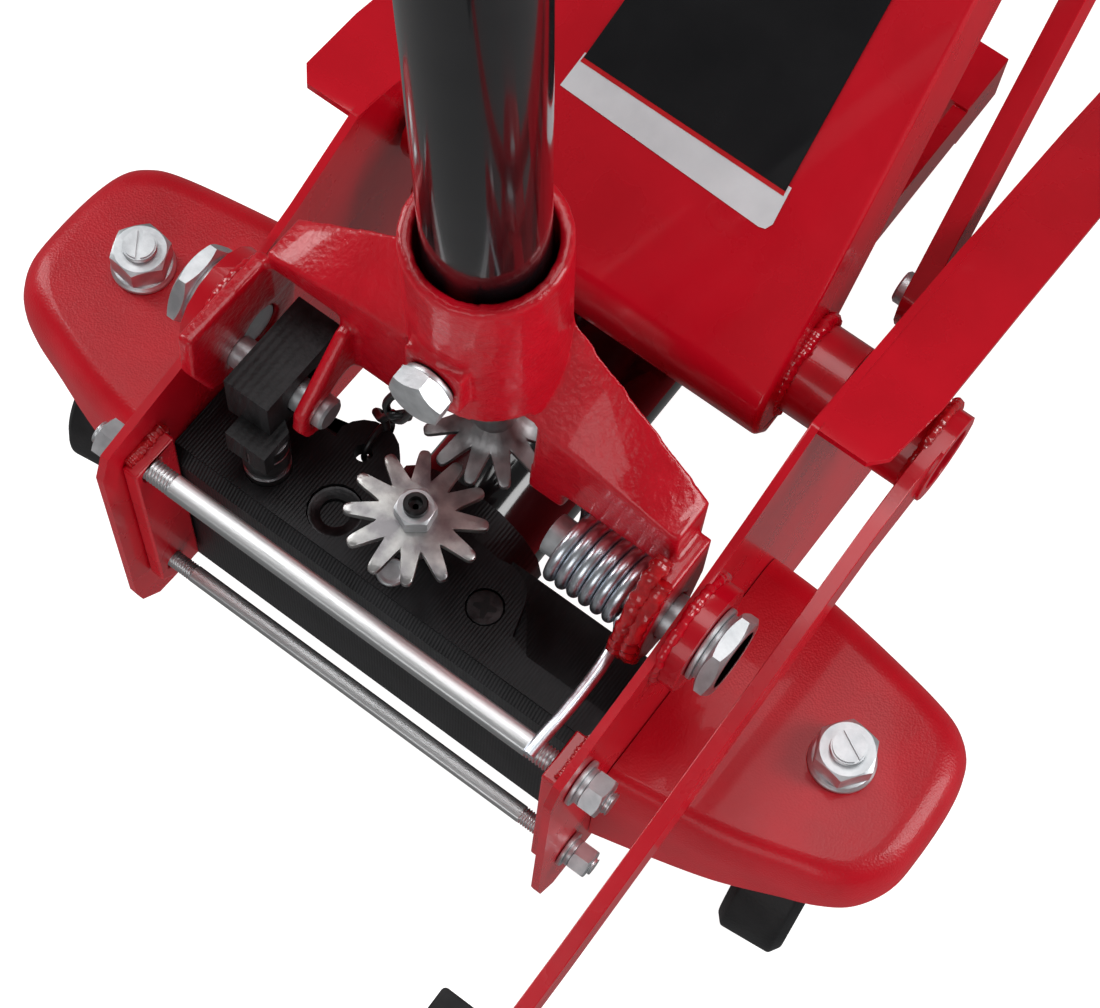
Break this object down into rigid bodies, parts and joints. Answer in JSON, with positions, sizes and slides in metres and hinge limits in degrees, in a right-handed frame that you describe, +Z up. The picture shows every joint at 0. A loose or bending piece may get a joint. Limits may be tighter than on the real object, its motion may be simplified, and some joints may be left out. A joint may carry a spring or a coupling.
{
  "type": "hydraulic trolley jack",
  "caption": "Low wheeled hydraulic jack: upright pump handle in a cast yoke, twin side plates, lift arm with round saddle, swivelling rear casters and a foot pedal.",
  "frame": {"origin": "middle of the footprint of the whole jack at rest, on the floor", "axes": "+Z up, +X towards the saddle and front wheels, +Y to the left seen from the handle"},
  "size_m": [0.676, 0.372, 1.1137],
  "materials": {
    "red_paint": "gloss",
    "black_paint": "gloss",
    "black_oxide": "satin",
    "zinc": "satin",
    "dark_steel": "satin",
    "plastic": "satin",
    "rubber": "matte"
  },
  "bodies": {
    "frame": {"arm_shaft": "dark_steel", "axle_nut_left": "zinc", "axle_nut_right": "zinc", "block_plug": "zinc", "block_screw": "black_oxide", "caster_housing_left": "red_paint", "caster_housing_right": "red_paint", "caster_stud_left": "zinc", "caster_stud_right": "zinc", "cylinder_gland": "zinc", "cylinder_tube": "black_paint", "end_doubler_left": "red_paint", "end_doubler_right": "red_paint", "front_axle": "dark_steel", "hook_ring": "dark_steel", "link_pin_rear": "zinc", "pump_block": "black_oxide", "shaft_ring": "dark_steel", "side_plate_left": "red_paint", "side_plate_right": "red_paint", "socket_plug": "black_oxide", "spring_sleeve": "zinc", "tie_nut_lower_left": "zinc", "tie_nut_lower_right": "zinc", "tie_nut_upper_left": "zinc", "tie_nut_upper_right": "zinc", "tie_rod_lower": "zinc", "tie_rod_upper": "zinc", "torsion_spring": "zinc", "yoke_bolt_left": "zinc", "yoke_bolt_right": "zinc"},
    "caster_left": {"caster_fork_left": "zinc", "caster_axle_left": "zinc"},
    "caster_right": {"caster_fork_right": "zinc", "caster_axle_right": "zinc"},
    "wheel_rear_left": {"caster_wheel_left": "plastic"},
    "wheel_rear_right": {"caster_wheel_right": "plastic"},
    "wheel_front_left": {"front_wheel_left": "plastic"},
    "wheel_front_right": {"front_wheel_right": "plastic"},
    "yoke": {"handle_socket": "red_paint", "set_bolt": "zinc", "pump_pin": "zinc"},
    "handle": {"handle_gear": "dark_steel", "handle_lower": "black_paint", "handle_upper": "black_paint", "handle_grip": "rubber"},
    "valve": {"release_gear": "zinc", "release_valve": "zinc"},
    "pump": {"plunger": "dark_steel", "pump_link": "black_oxide"},
    "arm": {"lift_arm": "red_paint", "saddle_pin": "dark_steel"},
    "bracket": {"saddle_bracket": "red_paint", "link_pin_front": "zinc"},
    "saddle": {"saddle": "red_paint"},
    "link": {"levelling_link": "red_paint"},
    "ram": {"ram_rod": "zinc", "ram_crosshead": "red_paint"},
    "pedal": {"pedal_lever": "red_paint", "pedal_pad": "rubber"}
  },
  "joints": [
    {"name": "caster_swivel_left", "type": "hinge", "parent": "frame", "child": "caster_left", "pos_m": [-0.1587, 0.148, 0.028], "axis": [0, 0, 1], "continuous": true},
    {"name": "caster_swivel_right", "type": "hinge", "parent": "frame", "child": "caster_right", "pos_m": [-0.1587, -0.148, 0.028], "axis": [0, 0, 1], "continuous": true},
    {"name": "wheel_spin_rear_left", "type": "hinge", "parent": "caster_left", "child": "wheel_rear_left", "pos_m": [-0.1795, 0.14508, 0.028], "axis": [-0.1392, 0.9903, 0], "continuous": true},
    {"name": "wheel_spin_rear_right", "type": "hinge", "parent": "caster_right", "child": "wheel_rear_right", "pos_m": [-0.17958, -0.15019, 0.028], "axis": [-0.1045, 0.9945, 0], "continuous": true},
    {"name": "wheel_spin_front_left", "type": "hinge", "parent": "frame", "child": "wheel_front_left", "pos_m": [0.302, 0.1055, 0.036], "axis": [0, 1, 0], "continuous": true},
    {"name": "wheel_spin_front_right", "type": "hinge", "parent": "frame", "child": "wheel_front_right", "pos_m": [0.302, -0.1055, 0.036], "axis": [0, 1, 0], "continuous": true},
    {"name": "pump_stroke", "type": "hinge", "parent": "frame", "child": "yoke", "pos_m": [-0.173, 0, 0.157], "axis": [0, -1, 0], "range_deg": [0, 50], "stiffness_Nm_per_rad": 6.4, "springref_deg": -60.16},
    {"name": "handle_twist", "type": "hinge", "parent": "yoke", "child": "handle", "pos_m": [-0.153, 0, 0.157], "axis": [-0.0715, 0, 0.9974], "range_deg": [0, 120]},
    {"name": "valve_turn", "type": "hinge", "parent": "frame", "child": "valve", "pos_m": [-0.194, 0, 0.152], "axis": [0, 0, 1], "range_deg": [-120, 0]},
    {"name": "plunger_stroke", "type": "slide", "parent": "frame", "child": "pump", "axis": [0, 0, -1], "range_m": [0, 0.009]},
    {"name": "arm_lift", "type": "hinge", "parent": "frame", "child": "arm", "pos_m": [-0.078, 0, 0.16], "axis": [0, -1, 0], "range_deg": [-45, 14]},
    {"name": "saddle_level", "type": "hinge", "parent": "arm", "child": "bracket", "pos_m": [0.20334, 0, 0.34551], "axis": [0, -1, 0], "range_deg": [-14, 45]},
    {"name": "saddle_turn", "type": "hinge", "parent": "bracket", "child": "saddle", "pos_m": [0.22734, 0, 0.34551], "axis": [0, 0, 1], "continuous": true},
    {"name": "link_swing", "type": "hinge", "parent": "frame", "child": "link", "pos_m": [-0.024, 0, 0.14], "axis": [0, -1, 0], "range_deg": [-45, 14]},
    {"name": "ram_stroke", "type": "slide", "parent": "frame", "child": "ram", "axis": [1, 0, 0], "range_m": [-0.0375, 0.012]},
    {"name": "pedal_press", "type": "hinge", "parent": "frame", "child": "pedal", "pos_m": [-0.078, 0, 0.16], "axis": [0, -1, 0], "range_deg": [0, 12], "stiffness_Nm_per_rad": 8, "springref_deg": -14.32}
  ],
  "couplings": [
    {"joint": "valve_turn", "follows": "handle_twist", "ratio": -1},
    {"joint": "plunger_stroke", "follows": "pump_stroke", "m_per_rad": 0.01},
    {"joint": "saddle_level", "follows": "arm_lift", "ratio": -1},
    {"joint": "link_swing", "follows": "arm_lift", "ratio": 1},
    {"joint": "ram_stroke", "follows": "arm_lift", "m_per_rad": 0.0475}
  ]
}
